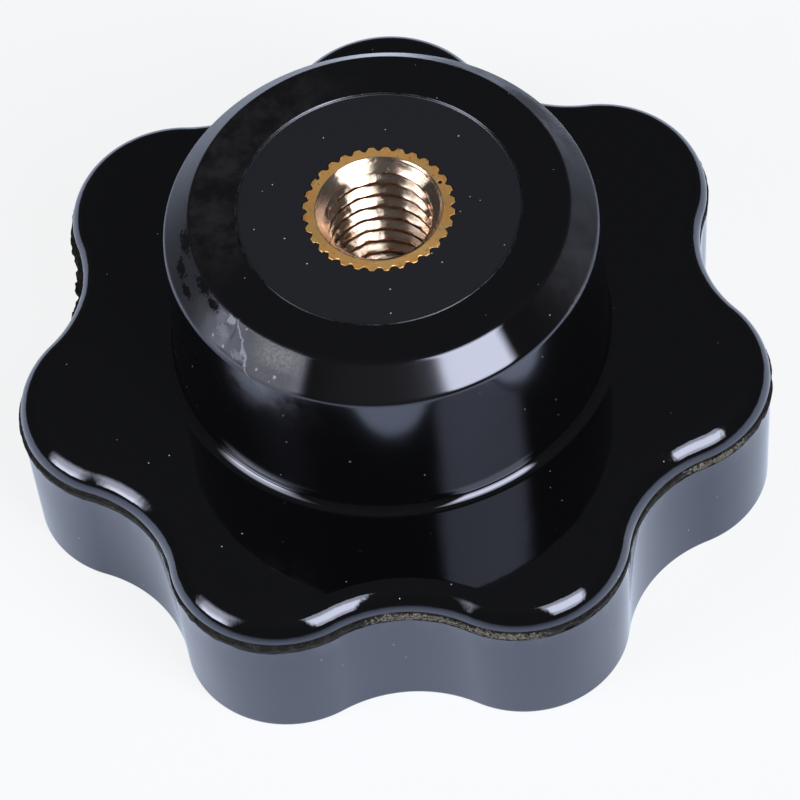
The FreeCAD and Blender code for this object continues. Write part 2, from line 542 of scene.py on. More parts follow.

# %% [markdown]
# ## The torn strip and its fin
#
# The strip's rows move along the outline's normals: a little in and out where it was ground, inwards where a
# chip came out and along the groove of the upper line, and well out in the hollow that kept its fin. The fin
# stays inside the circle of the lobes. This is real shape, so that it shows at any angle. An array remembers
# how pale each point is, and the strip's finish reads it later. In that array the upper rows are kept dark,
# which is painted shade along the groove.

# %% Tear the strip
CHIP_DEPTH = 0.2
FIN_REACH = 0.62
FURTHEST_OUT = 0.78
LEAST_PALE = 0.45
light = np.zeros(skin.shape[:2])
level_points = np.column_stack([OUTLINE, np.zeros(len(OUTLINE))])
wander = grain(level_points, 2.2, 3)
middle = PARTING + STRIP_HEIGHT / 2
for row in strip_rows[1:]:
    level = (skin[row, 0, 2] - middle) / (STRIP_HEIGHT / 2)
    fine = grain(skin[row], 0.22, 1)
    coarse = grain(skin[row], 0.9, 2)
    lip = np.clip(1.35 - 1.2 * np.abs(level + 0.25 * wander), 0, 1)
    move = -STRIP_PROUD * (1 - proud * (0.55 + 0.45 * lip))
    move += (0.05 * fine - 0.04) * (0.6 + 0.4 * ground_light) - 0.07 * np.clip(coarse, 0, 1)
    upper = np.clip((level - 0.1 - 0.6 * wander) / 0.2, 0, 1)
    move -= upper * (0.18 + 0.12 * ground_light) * np.clip(0.85 + 0.7 * fine + 0.5 * coarse, 0.1, 1.5)
    ragged = np.clip(0.62 + 0.55 * grain(skin[row] * [1, 1, 0], 0.7, 4) + 0.25 * fine, 0.1, 1.2)
    blade = np.exp(-(((level - 0.15) / 0.4) ** 4))
    move += fin_left * blade * FIN_REACH * ragged
    move -= chipped * CHIP_DEPTH * np.clip(coarse + 0.6 * fine + 0.3, 0, 1)
    skin[row, :, :2] += np.minimum(move, FURTHEST_OUT)[:, None] * NORMALS
    # Painted shade: the upper rows, in the groove, lose almost all their pale specks.
    paleness = np.maximum(ground_light, LEAST_PALE) * (1.15 - upper) + 0.25 * fine * (1 - upper)
    light[row] = np.clip(paleness, 0, 1)
print("strip's furthest radius", round(float(np.linalg.norm(skin[strip_rows, :, :2], axis=2).max()), 2), "mm")

# %% [markdown]
# ## The strip's two edges
#
# Neither edge of the strip runs straight. The lowest rows sink unevenly down the grip, by less than a
# tenth of a millimetre, and the groove along the top comes and goes. It is shallowest where the fin still
# stands.

# %% Loosen the strip's edges
LOWER_EDGE_SWAY = 0.045
GROOVE_SWAY = 0.1
lower_edge = np.clip(grain(level_points, 0.5, 6) + 0.6 * grain(level_points, 1.7, 7), -0.9, 0.9)
skin[strip_rows[0] - 1 : strip_rows[3], :, 2] -= LOWER_EDGE_SWAY * (1 + lower_edge)
shallow = 1 - np.clip(0.75 + 0.5 * wander, 0.2, 1.2) * (1 - 0.8 * fin_left)
for row in groove_rows:
    skin[row, :, :2] += GROOVE_SWAY * shallow[:, None] * NORMALS
print("lower edge sinks by up to", round(LOWER_EDGE_SWAY * (1 + float(lower_edge.max())), 3), "mm")

# %% [markdown]
# ## The dent along the crack
#
# The chamfer was knocked: at its left front a flake broke out along a crack. The rows of the chamfer drop at
# once at the crack's line, on one side of it only, and rise again softly within 17 degrees. The line is a few
# listed corners, each an azimuth and a share of the way down the chamfer.

# %% Dent the chamfer
crack_line = [(-137.6, 0.0), (-136.9, 0.28), (-137.3, 0.5), (-134.6, 0.6), (-133.2, 0.78), (-129.0, 1.0)]
crack_azimuths, crack_shares = zip(*crack_line)
inward = np.column_stack(
    [-ROUND * math.sin(chamfer_angle), np.full(len(ROUND), -math.cos(chamfer_angle))]
)
for number, row in enumerate(chamfer_rows):
    down = 1 - number / (len(chamfer_rows) - 1)
    past = -away(AZIMUTH, np.interp(down, crack_shares, crack_azimuths))
    sunk = np.clip(past / 0.5, 0, 1) * np.clip((17 - past) / 12, 0, 1)
    dent = sunk * (0.05 + 0.035 * grain(skin[row], 0.8, 5))
    skin[row] += dent[:, None] * inward
print("dent in the top row", round(float(dent.max()), 3), "mm at most")

# %% [markdown]
# ## The knurl and its pocket
#
# The bush has a straight knurl, which keeps it from turning in the resin, and the resin flowed round it,
# so the pocket has the bush's own teeth. One function gives the toothed ring for both: flat tips, rounded
# corners and narrow rounded grooves, as a knurling wheel leaves them.

# %% The knurl's ring
SAMPLES_PER_TOOTH = 12
GROOVE_FLOOR_SHARE = 0.06
FLANK_SHARE = 0.30


def knurl_ring(height, clearance=0.0, soften=0.0):
    """The toothed outline at a height, opened by a clearance or drawn in to soften an edge."""
    ring = []
    for number in range(KNURL_TEETH * SAMPLES_PER_TOOTH):
        phase = number / SAMPLES_PER_TOOTH % 1
        azimuth = math.radians(KNURL_TURN + 360 * number / (KNURL_TEETH * SAMPLES_PER_TOOTH))
        rise = min(1.0, max(0.0, (abs(phase - 0.5) - GROOVE_FLOOR_SHARE) / FLANK_SHARE))
        rise = rise * rise * (3 - 2 * rise)
        radius = KNURL_ROOT + (KNURL_TIP - KNURL_ROOT) * rise + clearance - soften
        ring.append((radius * math.cos(azimuth), radius * math.sin(azimuth), height))
    return np.array(ring)


print("points round the knurl", len(knurl_ring(SEAT)))

# %% [markdown]
# ## Closing a flat between two unlike rings
#
# The teeth don't fall on the skin's columns, so the flat seat is closed with a strip of triangles between
# the last round ring and the toothed one. It works like a zip: it goes round once, and each step moves on
# along whichever ring is behind. Filling the flat with one many-sided face would leave long slivers
# instead.

# %% A zip of triangles
def zip_rings(outer, outer_start, inner, inner_start):
    """Triangles between two rings with different numbers of points, both running anticlockwise."""
    def unwound(ring):
        return np.unwrap(np.arctan2(ring[:, 1], ring[:, 0]))

    a, b = unwound(outer), unwound(inner)
    shift = int(np.argmin(np.abs((b - a[0] + math.pi) % (2 * math.pi) - math.pi)))
    b = np.unwrap(np.roll(b, -shift))
    b += round((a[0] - b[0]) / (2 * math.pi)) * 2 * math.pi
    faces = []
    i = j = 0
    while i < len(a) or j < len(b):
        outer_here = outer_start + i % len(a)
        inner_here = inner_start + (j + shift) % len(b)
        next_a = a[(i + 1) % len(a)] + 2 * math.pi * ((i + 1) // len(a))
        next_b = b[(j + 1) % len(b)] + 2 * math.pi * ((j + 1) // len(b))
        if j >= len(b) or (i < len(a) and next_a <= next_b):
            faces.append((outer_here, outer_start + (i + 1) % len(a), inner_here))
            i += 1
        else:
            faces.append((outer_here, inner_start + (j + 1 + shift) % len(b), inner_here))
            j += 1
    return faces


print("triangles between rim and knurl", len(zip_rings(skin[-1], 0, knurl_ring(SEAT), 0)))

# %% [markdown]
# ## Faces between like rings
#
# Rings with the same number of points are joined by rows of quads, and the last ring is closed with a fan
# of triangles round its middle point.

# %% Quads and fans
def quads(first, count, columns):
    """Faces between neighbouring rings of equal length, for rings that run up or inwards."""
    faces = []
    for row in range(count - 1):
        base = first + row * columns
        for column in range(columns):
            onward = (column + 1) % columns
            faces.append((base + column, base + onward, base + columns + onward, base + columns + column))
    return faces


def fan(centre, start, columns, flip=False):
    """Triangles from a ring to its middle point."""
    faces = [(start + c, start + (c + 1) % columns, centre) for c in range(columns)]
    return [face[::-1] for face in faces] if flip else faces


print("faces between two rows of the skin", len(quads(0, 2, len(OUTLINE))))

# %% [markdown]
# ## From points and faces to a piece
#
# A mesh made from lists of points and faces is exact and quick. The points are in millimetres and
# Blender's unit is the metre, so they are scaled here, once. Smooth shading rounds the gloss, and edges
# sharper than an angle stay crisp.

# %% A piece of the knob
def make_piece(name, points, faces, sharp_angle):
    """A smooth-shaded mesh object in metres, with edges above an angle kept sharp."""
    mesh = bpy.data.meshes.new(name)
    mesh.from_pydata((np.asarray(points) * MM).tolist(), [], faces)
    mesh.validate()
    mesh.shade_smooth()
    mesh.set_sharp_from_angle(angle=math.radians(sharp_angle))
    piece = bpy.data.objects.new(name, mesh)
    bpy.context.scene.collection.objects.link(piece)
    triangles = sum(len(p.vertices) - 2 for p in mesh.polygons)
    print(name, "points", len(mesh.vertices), "triangles", triangles)
    return piece


# %% [markdown]
# ## The moulding
#
# The skin, the zip round the seat and the pocket make one closed piece, as the mould made it. The pocket
# is wider than the bush by a hundredth of a millimetre, so that the two surfaces don't flicker where they
# meet.

# %% Build the moulding
POCKET_CLEARANCE = 0.012
POCKET_FLOOR = BUSH_BASE - 0.01
columns = len(OUTLINE)
pocket = [knurl_ring(level, POCKET_CLEARANCE) for level in (SEAT, SEAT - 0.3, POCKET_FLOOR)]
pocket_columns = len(pocket[0])
points = np.vstack([skin.reshape(-1, 3), *pocket, [[0, 0, 0], [0, 0, POCKET_FLOOR]]])
last_ring = (len(skin) - 1) * columns
pocket_start = len(skin) * columns
crown_middle = pocket_start + 3 * pocket_columns
faces = fan(crown_middle, 0, columns, flip=True) + quads(0, len(skin), columns)
faces += zip_rings(skin[-1], last_ring, pocket[0], pocket_start)
faces += quads(pocket_start, 3, pocket_columns)
faces += fan(crown_middle + 1, pocket_start + 2 * pocket_columns, pocket_columns)
knob = make_piece("star_knob_moulding", points, faces, 35)

# %% [markdown]
# ## What the moulding stands for
#
# The piece rides on the knob's one body and replaces the plain CAD solid. The paleness of the torn strip is
# stored on its points as an attribute, which a material can read.

# %% Place the moulding
layer = knob.data.attributes.new("light", "FLOAT", "POINT")
stored = np.zeros(len(knob.data.vertices))
stored[: light.size] = light.ravel()
layer.data.foreach_set("value", stored)
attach(knob, "root")
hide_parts("knob_body")
print("points with some paleness", int((stored > 0).sum()))

# %% [markdown]
# ## The bush
#
# The bush was turned from bar, knurled straight outside, countersunk and tapped. A thread could be a
# profile swept along a helix, but its run-out and the countersink would then need booleans. Here the hole
# is a height field instead: each azimuth and depth has one radius. The thread has a 60 degree section
# with narrow flats, is right-handed and fades out above the drilled point.

# %% The thread's radius
CREST_FLAT = 0.25
ROOT_FLAT = 0.11
THREAD_START = 0.31
THREAD_END = 0.4
THREAD_FADE = 1.6 * PITCH


def thread_radius(azimuth, height):
    """Radius of the tapped hole's wall, before the countersink."""
    phase = (height / PITCH - azimuth / 360 - THREAD_START) % 1
    distance = abs(phase - 0.5) * 2
    slope = (distance - ROOT_FLAT) / (1 - ROOT_FLAT - CREST_FLAT)
    depth = 1 - min(1.0, max(0.0, slope))
    fade = min(1.0, max(0.0, (height - HOLE_FLOOR - THREAD_END) / THREAD_FADE))
    return CREST + (THREAD_ROOT - CREST) * depth * fade


middle_of_thread = (SEAT + HOLE_FLOOR) / 2
radii = [thread_radius(0, middle_of_thread + PITCH * n / 16) for n in range(16)]
print("thread from", round(min(radii), 2), "to", round(max(radii), 2), "mm radius")

# %% [markdown]
# ## The bore
#
# The bore's rings go down from the seat, sixteen to a turn of thread. Where the countersink is wider than
# the thread it wins, which cuts the first turn off at a slant, as a real countersink does. A little noise
# stands for the burrs that a tap leaves.

# %% Thread and countersink
BORE_COLUMNS = 192
ROWS_PER_TURN = 16
BURR = 0.02
bore_azimuths = [360 * n / BORE_COLUMNS for n in range(BORE_COLUMNS)]
bore_rows = int((SEAT - HOLE_FLOOR) / PITCH * ROWS_PER_TURN)
bore = []
for row in range(bore_rows + 1):
    height = SEAT + (HOLE_FLOOR - SEAT) * row / bore_rows
    ring = []
    for azimuth in bore_azimuths:
        a = math.radians(azimuth)
        burr = BURR * noise.noise(Vector((math.cos(a) * 9, math.sin(a) * 9, height * 3)))
        radius = max(thread_radius(azimuth, height) + burr, COUNTERSINK - (SEAT - height))
        ring.append((radius * math.cos(a), radius * math.sin(a), height))
    bore.append(ring)
bore = np.array(bore)
bore_radii = np.linalg.norm(bore[:, :, :2], axis=2)
print("bore rows", len(bore), "radii", bore_radii.min().round(2), bore_radii.max().round(2))

# %% [markdown]
# ## The bush's outside and end face
#
# The teeth have a small bevel where the end was faced off, and it is what makes them glint along the near
# side. The end face itself is flat, and a zip of triangles joins the teeth to the mouth of the hole.

# %% Build the bush
BEVEL = 0.09
FACE_RIM = 0.03
MOUTH_SPREAD = 1.01
outside = [
    knurl_ring(BUSH_BASE),
    knurl_ring(SEAT - 0.4),
    knurl_ring(SEAT - BEVEL),
    knurl_ring(SEAT - 0.5 * BEVEL, soften=0.5 * BEVEL),
    knurl_ring(SEAT, soften=BEVEL),
    knurl_ring(SEAT, soften=BEVEL + FACE_RIM),
]
tooth_columns = len(outside[0])
mouth = bore[0] * [MOUTH_SPREAD, MOUTH_SPREAD, 1]
bush_points = np.vstack([*outside, mouth, bore.reshape(-1, 3), [[0, 0, BUSH_BASE], [0, 0, DRILL_POINT]]])
mouth_start = len(outside) * tooth_columns
middle_points = mouth_start + (len(bore) + 1) * BORE_COLUMNS
bush_faces = fan(middle_points, 0, tooth_columns, flip=True) + quads(0, len(outside), tooth_columns)
bush_faces += zip_rings(outside[-1], mouth_start - tooth_columns, mouth, mouth_start)
bore_first = len(bush_faces)
bush_faces += quads(mouth_start, len(bore) + 1, BORE_COLUMNS)
bush_faces += fan(middle_points + 1, middle_points - BORE_COLUMNS, BORE_COLUMNS)
bush = make_piece("tapped_bush", bush_points, bush_faces, 28)
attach(bush, "root")
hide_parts("threaded_insert")

# %% [markdown]
# ## Black resin
#
# Resin from a polished mould is nearly black and as smooth as lacquer. The eye reads hardly anything but
# gloss: a slightly wavy skin, dust, and places where the gloss is gone. So the finish is a set of masks,
# numbers from 0 to 1 that say where each kind of wear is. First come the places on the knob and three
# grains of noise.

# %% Places on the moulding
resin = Finish("black_resin", IOR=1.8, Specular_Tint=(0.76, 0.80, 1.0, 1))
radius, azimuth, height = resin.round_axes()


def sector(start, stop, soft=3.0):
    """1 between two azimuths in degrees."""
    return azimuth.between(start - soft, start + soft) * (1.0 - azimuth.between(stop - soft, stop + soft))


on_chamfer = height.between(22.8, 23.05) * (1.0 - height.between(25.0, 25.19))
on_chamfer = on_chamfer * radius.between(11.6, 12.0)
on_seat = (1.0 - radius.between(SEAT_RADIUS - 0.03, SEAT_RADIUS + 0.01)) * height.between(24.9, 25.0)
on_top = height.between(25.1, 25.18)
on_hub_wall = height.between(12.4, 12.8) * (1.0 - height.between(22.9, 23.2)) * radius.between(13.0, 13.5)
on_edge = height.between(10.25, 10.6) * (1.0 - height.between(11.7, 11.84))
cloud = resin.noise(0.7, 4.0, roughness=0.65)
grit = resin.noise(5.0, 3.0, roughness=0.7)
fine_grit = resin.noise(13.0, 2.0)
print("resin nodes for places and grains", len(resin.nodes))

# %% [markdown]
# ## Haze on the chamfer
#
# Hands and knocks have dulled the chamfer: a haze over its left half, with dark spots where the gloss
# survived, and a lighter one on its right. Even noise would scatter such spots all round. A patch puts
# one where it is, a ragged oval given by its azimuth, its radius and its two half sizes.

# %% Haze on the chamfer
ragged = resin.noise(4.5, 4.0, roughness=0.75) - 0.5


def patch(at_azimuth, at_radius, wide, deep):
    """1 in a ragged oval. Its half width is in degrees and its half depth in millimetres of radius."""
    along, out = (azimuth - at_azimuth) / wide, (radius - at_radius) / deep
    return 1.0 - ((along * along + out * out).maths("SQRT") + ragged * 3.6).between(0.7, 1.05)


blotch = patch(-148.5, 12.6, 3.0, 0.22) + patch(-155.5, 12.5, 4.0, 0.26) + patch(-166.0, 13.2, 3.5, 0.24)
blotch = blotch + patch(-159.0, 13.4, 3.0, 0.18) + patch(-173.0, 12.6, 5.0, 0.3)
land_haze = on_top * (1.0 - on_seat) * (sector(110, 230, 25.0) + sector(-215, -160, 15.0))
land_haze = land_haze * cloud.between(0.3, 0.7)
hazed = sector(-200, -114, 4.5) * (0.45 + 0.55 * azimuth.between(-152, -126)) * (0.8 + 0.4 * cloud)
hazed = hazed * (1.0 - blotch.maths("MINIMUM", 1.0) * 0.85)
hazed = hazed + sector(96, 200, 14.0) * 0.45 + sector(-106, -72, 10.0) * 0.2
hazed = (hazed + sector(-32, 80, 14.0) * (0.3 + 0.6 * cloud)) * on_chamfer
print("resin nodes with the haze", len(resin.nodes))

# %% [markdown]
# ## Worn and dusty places
#
# Worn places are rubbed through the gloss. Dusty ones have pale dust caught in fine scratches, so the
# grit breaks them up. One worn place goes on below the chamfer, down the hub's wall.

# %% Worn and dusty places
worn = on_chamfer * (patch(39.0, 12.9, 9.0, 0.7) + patch(22.0, 13.3, 5.0, 0.4) * 0.6)
dusty = on_chamfer * (1.0 - (azimuth + 122.0).maths("ABSOLUTE").between(2.0, 11.0))
dusty = dusty * (0.25 + 0.75 * radius.between(13.55, 12.95))
dusty = dusty + on_chamfer * (patch(37.0, 13.9, 9.0, 0.45) * 0.8 + patch(-27.0, 14.1, 7.0, 0.16) * 0.35)
dusty = dusty * (0.4 + 0.6 * grit.between(0.35, 0.65))
below = sector(-135, -112, 7.0) * height.between(18.5, 22.4) * on_hub_wall
worn = worn + below * cloud.between(0.36, 0.6) * 0.45
print("resin nodes with the wear", len(resin.nodes))

# %% [markdown]
# ## The crack, the flake and the chips
#
# Broken resin is pale. The crack is a thin line that wanders down the chamfer: its azimuth is a slope
# plus noise, and the mask is how near a point is to it. The flake beside it is three patches, and six
# tiny chips lie round it.

# %% The crack, the flake and the chips
CRACK_TOP = -141.4
CRACK_SLANT = 8.5
CRACK_WANDER = 7.0
CHIP_PLACES = (
    (-143.0, 13.6),
    (-138.7, 13.65),
    (-130.4, 13.8),
    (-126.5, 13.7),
    (-120.9, 13.65),
    (-134.2, 12.35),
)
crack_path = (HUB_TOP - height) * (CRACK_SLANT / (HUB_TOP - SHOULDER))
crack_path = crack_path + resin.noise(0.9, 3.0) * CRACK_WANDER + CRACK_TOP
crack_gap = (azimuth - crack_path).maths("ABSOLUTE")
crack = (1.0 - crack_gap.between(0.2, 0.7)) * on_chamfer * sector(-142, -127, 1.0)
flake = patch(-140.2, 12.45, 1.9, 0.2) * 0.9 + patch(-140.9, 13.1, 2.3, 0.3) * 0.3
flake = flake + patch(-133.4, 13.6, 2.2, 0.22) * 0.4
for at_azimuth, at_radius in CHIP_PLACES:
    flake = flake + patch(at_azimuth, at_radius, 0.42, 0.08) * 1.4
flake = flake + grit.between(0.66, 0.74) * sector(-150, -114, 5.0) * 0.2
broken = (crack * 0.8 + flake * on_chamfer).maths("MINIMUM", 1.0)
print("chips", len(CHIP_PLACES), "resin nodes", len(resin.nodes))

# %% [markdown]
# ## The scribed ring and the dust
#
# The ring's groove is real shape. Its torn edges are painted a paler grey in a broken line, with a painted
# highlight that makes the line brightest at the front. Dust lies as single specks: a Voronoi texture has one
# random point in each cell, and its random colour picks the few cells that get a speck and how large it is.

# %% The scribed ring and the dust
DUST_CELLS = 1.5
ring_gap = (radius - (SEAT_RADIUS + 0.06)).maths("ABSOLUTE")
ring_break = resin.noise(1.3, 4.0, roughness=0.75).between(0.38, 0.62)
# Painted highlight: the scribed line's grey is made stronger towards the front, and the scribed mask carries
# that highlight.
front_painted_highlight = sector(-95, -30, 12.0) * 0.45 + 0.25
scribed = (1.0 - ring_gap.between(0.02, 0.065)) * on_top * ring_break * front_painted_highlight

cells = {"Vector": resin.place, "Scale": DUST_CELLS / MM}
dust_distance = resin.node("ShaderNodeTexVoronoi", {"feature": "F1"}, cells, "Distance")
cell_colour = resin.node("ShaderNodeTexVoronoi", {"feature": "F1"}, cells, "Color")
dust_pick = resin.node("ShaderNodeSeparateXYZ", {}, [cell_colour], 0)
dust = ((dust_pick + on_seat * 0.16).between(0.72, 1.05) * 0.09 - dust_distance).between(0.0, 0.02)
print("resin nodes with the dust", len(resin.nodes))

# %% [markdown]
# ## The resin's colour
#
# The colour starts from the black of the resin and is mixed towards greyer ones, one mask after the
# other, in the order in which they lie on the knob: haze first, dust last.

# %% The resin's colour
black = (0.0022, 0.0022, 0.0024, 1)
haze_grey = (0.040, 0.039, 0.043, 1)
dusty_grey = (0.15, 0.143, 0.15, 1)
turned_black = (0.0105, 0.0108, 0.0135, 1)
broken_grey = (0.28, 0.295, 0.35, 1)
scribed_edge_and_highlight_grey = (0.12, 0.125, 0.145, 1)
dust_white = (0.5, 0.5, 0.52, 1)
colour = resin.mix((worn * 0.7 + hazed * 0.5 + land_haze * 0.3).maths("MINIMUM", 1.0), black, haze_grey)
layers = (
    (dusty, dusty_grey),
    (on_seat, turned_black),
    (broken, broken_grey),
    (scribed, scribed_edge_and_highlight_grey),
    (dust, dust_white),
)
for mask, tint in layers:
    colour = resin.mix(mask, colour, tint)
print("colours laid over the haze", len(layers))

# %% [markdown]
# ## The resin's gloss and relief
#
# Untouched resin is almost a mirror, and each mask adds roughness to it. A polished mould is never quite
# flat, so slow waves bend the highlights, more so on the flange's edge. On the seat the turning tool left
# fine rings: noise that depends on the radius alone.

# %% The resin's gloss and relief
rough = 0.05 + hazed * 0.62 + land_haze * 0.15 + worn * (0.15 + 0.2 * grit) + on_hub_wall * 0.08
rough = rough + on_top * (1.0 - on_seat) * (0.10 + cloud * 0.10)
rough = rough + on_seat * 0.34 + broken * 0.3 + scribed * 0.4 + dust * 0.5
waves = resin.noise(0.22, 2.0) * 1.2 + resin.noise(1.1, 2.0) * (0.05 + 1.2 * on_edge)
tool_marks = {"W": radius * 9.0, "Detail": 3.0}
turning = resin.node("ShaderNodeTexNoise", {"noise_dimensions": "1D"}, tool_marks, "Fac")
rough = rough + turning.between(0.3, 0.7) * on_seat * 0.08
relief = waves * 0.012 + turning * on_seat * 0.002 + grit * worn * 0.003
relief = relief + fine_grit * on_top * 0.0012
resin.feed(Base_Color=colour, Roughness=rough, Normal=resin.bump(relief))
knob.data.materials.append(resin.material)
print("resin nodes", len(resin.nodes))

# %% [markdown]
# ## Ground resin
#
# Where the flash was ground away, the filler in the resin shows. It is dark, dry and broken, with light
# specks where the wheel went deep. It could be one more mask in the black resin, but it shares nothing
# with it, so it gets a finish of its own with hardly any gloss, on its own faces.

# %% Finish of the strip
ground = Finish("ground_resin", IOR=1.4, Specular_IOR_Level=0.3)
filler_dark, filler_light = (0.07, 0.066, 0.058, 1), (0.26, 0.24, 0.20, 1)
torn_black, torn_brown = (0.005, 0.0045, 0.004, 1), (0.020, 0.0175, 0.015, 1)
grains = ground.noise(5.0, 3.0, roughness=0.7)
fine_grains = ground.noise(13.0, 2.0)
stored_light = ground.node("ShaderNodeAttribute", {"attribute_name": "light"}, {}, "Fac")
# The stored paleness is low in the strip's upper rows, which is painted shade along the groove.
specks = (grains * 1.1 + stored_light * 0.5).between(0.90, 1.12)
filler = ground.mix(fine_grains.between(0.40, 0.64), filler_dark, filler_light)
torn = ground.mix(ground.noise(2.5, 3.0).between(0.45, 0.7), torn_black, torn_brown)
ground.feed(
    Base_Color=ground.mix(specks, torn, filler),
    Roughness=0.55 + grains * 0.2,
    Normal=ground.bump(grains * 0.10 + fine_grains * 0.03),
)
print("ground resin nodes", len(ground.nodes))

# %% [markdown]
# ## Which faces are ground
#
# Faces are numbered as they were made, first the fan in the crown and then row by row, so the strip's
# faces are one run of numbers. They get the second material, and all others keep the first.

# %% Give the strip its finish
strip_first = columns * (1 + strip_rows[0])
strip_last = columns * (1 + groove_rows[0])
knob.data.materials.append(ground.material)
knob_slots = np.zeros(len(knob.data.polygons), dtype=np.int32)
knob_slots[strip_first:strip_last] = 1
knob.data.polygons.foreach_set("material_index", knob_slots)
print("faces of the strip", strip_last - strip_first)

# %% [markdown]
# ## Yellow metal
#
# The bush's end was faced with a coarse tool and has gone brown-gold since, browner towards the teeth, with a
# few dark spots and one small pit, whose hollow is painted nearly black as shade. Fine rings from the tool
# depend on the radius alone. The bevel on the teeth is smoother than the face, which is why it glints.

# %% Finish of the end face
PIT = (3.97, 1.83)
gold = Finish("faced_metal", Metallic=1.0)
radius, azimuth, height = gold.round_axes()
patina = gold.noise(0.8, 4.0, roughness=0.6)
spots = gold.noise(3.5, 2.0).between(0.63, 0.72)
x, y, _ = gold.axes()
from_pit_x, from_pit_y = x - PIT[0], y - PIT[1]
pit = 1.0 - (from_pit_x * from_pit_x + from_pit_y * from_pit_y).maths("SQRT").between(0.10, 0.16)
browned = radius.between(4.6, 4.95) * gold.noise(1.6, 2.0).between(0.4, 0.6) * 0.6
colour = gold.mix(patina.between(0.32, 0.68), (1.0, 0.66, 0.26, 1), (1.0, 0.56, 0.19, 1))
colour = gold.mix(browned, colour, (0.55, 0.26, 0.09, 1))
colour = gold.mix(spots * 0.6, colour, (0.36, 0.20, 0.08, 1))
# Painted shade: the pit's hollow is coloured nearly black.
colour = gold.mix(pit, colour, (0.03, 0.02, 0.01, 1))
facing_marks = {"W": radius * 12.0, "Detail": 2.0}
facing = gold.node("ShaderNodeTexNoise", {"noise_dimensions": "1D"}, facing_marks, "Fac")
relief = facing * 0.014 + gold.noise(4.0, 3.0) * 0.018 - pit * 0.05
bevelled = 1.0 - height.between(25.1, 25.118)
rough = 0.52 + patina * 0.16 - bevelled * 0.42
gold.feed(Base_Color=colour, Roughness=rough, Normal=gold.bump(relief))
print("end face nodes", len(gold.nodes))

# %% [markdown]
# ## Tapped metal
#
# The hole was cut last and its metal is bright, pinker than the face and nearly a mirror, so the soft
# boxes show in it as white bands. The tap's scratches run round the hole: noise along the height that
# leans a little with the azimuth. The countersink's cone is a shade duller.

# %% Finish of the thread
bright = Finish("tapped_metal", Metallic=1.0)
radius, azimuth, height = bright.round_axes()
tap_marks = {"W": height * 16.0 + azimuth * 0.05, "Detail": 3.0}
streak = bright.node("ShaderNodeTexNoise", {"noise_dimensions": "1D"}, tap_marks, "Fac")
dark_bits = bright.noise(2.2, 4.0, roughness=0.7).between(0.58, 0.72)
colour = bright.mix(bright.noise(1.3, 3.0).between(0.3, 0.75), (0.92, 0.77, 0.66, 1), (0.74, 0.54, 0.40, 1))
colour = bright.mix(dark_bits * 0.55, colour, (0.38, 0.22, 0.12, 1))
cone = COUNTERSINK - SEAT
on_cone = 1.0 - (radius - height).between(cone + 0.01, cone + 0.05)
colour = bright.mix(on_cone * 0.4, colour, (0.95, 0.78, 0.68, 1))
relief = streak * 0.0035 + bright.noise(4.0, 3.0, roughness=0.65) * 0.005 + bright.noise(11.0, 2.0) * 0.0014
rough = 0.055 + dark_bits * 0.2 + on_cone * 0.1
bright.feed(Base_Color=colour, Roughness=rough, Normal=bright.bump(relief))
print("thread nodes", len(bright.nodes))

# %% [markdown]
# ## Which faces are tapped
#
# The bush's faces were also made in order, and all that come after the end face are in the hole.

# %% Give the bush its finishes
bush.data.materials.append(gold.material)
bush.data.materials.append(bright.material)
bush_slots = np.zeros(len(bush.data.polygons), dtype=np.int32)
bush_slots[bore_first:] = 1
bush.data.polygons.foreach_set("material_index", bush_slots)
print("faces of the hole", int(bush_slots.sum()))

# %% [markdown]
# ## White paper
#
# The knob stands on plain white paper, which the camera sees almost white, with a soft shadow. A black
# mirror like this knob shows the paper in its walls more than its own colour, so what glossy rays see is
# set apart: pale and cool near the knob, dark further off. Light Path tells the kinds of ray apart.

# %% Finish of the paper
cool_white, far_grey = (0.74, 0.825, 1.0, 1), (0.06, 0.06, 0.07, 1)
paper = bpy.data.materials.new("white_paper")
paper_tree = Tree(paper)
paper_tree.nodes.clear()
to_camera = paper_tree.node("ShaderNodeLightPath", {}, {}, "Is Camera Ray")
through_glass = paper_tree.node("ShaderNodeLightPath", {}, {}, "Is Transmission Ray")
glossy = paper_tree.node("ShaderNodeLightPath", {}, {}, "Is Glossy Ray").maths("MAXIMUM", through_glass)
spot = paper_tree.node("ShaderNodeTexCoord", {}, {}, "Object")
across, back = [paper_tree.node("ShaderNodeSeparateXYZ", {}, [spot], n) for n in range(2)]
across, back = across * 0.55, back - 0.02
far = (across * across + back * back).maths("SQRT").between(0.045, 0.095)
sheet = paper_tree.mix(far, cool_white, far_grey)
lit = paper_tree.node("ShaderNodeBsdfDiffuse", {}, {"Color": sheet})
shown = paper_tree.node("ShaderNodeEmission", {}, {"Color": (1, 1, 1, 1)})
# Painted glow: for glossy rays the paper glows at 3.6 times white near the knob, which brightens the knob's
# reflections beyond what the lamps give the paper.
mirrored = paper_tree.node("ShaderNodeEmission", {}, {"Color": sheet, "Strength": 3.6})
seen = paper_tree.node("ShaderNodeMixShader", {}, [to_camera * (0.85 + 0.15 * far), lit, shown])
seen = paper_tree.node("ShaderNodeMixShader", {}, [glossy * 0.15, seen, mirrored])
print("paper nodes", len(paper_tree.nodes))

# %% [markdown]
# ## The sheet itself
#
# The sheet is one face. It lies a hair below the crown, because two surfaces at the same height would
# show streaks, and it is see-through from below, so that the crown can be looked at too.

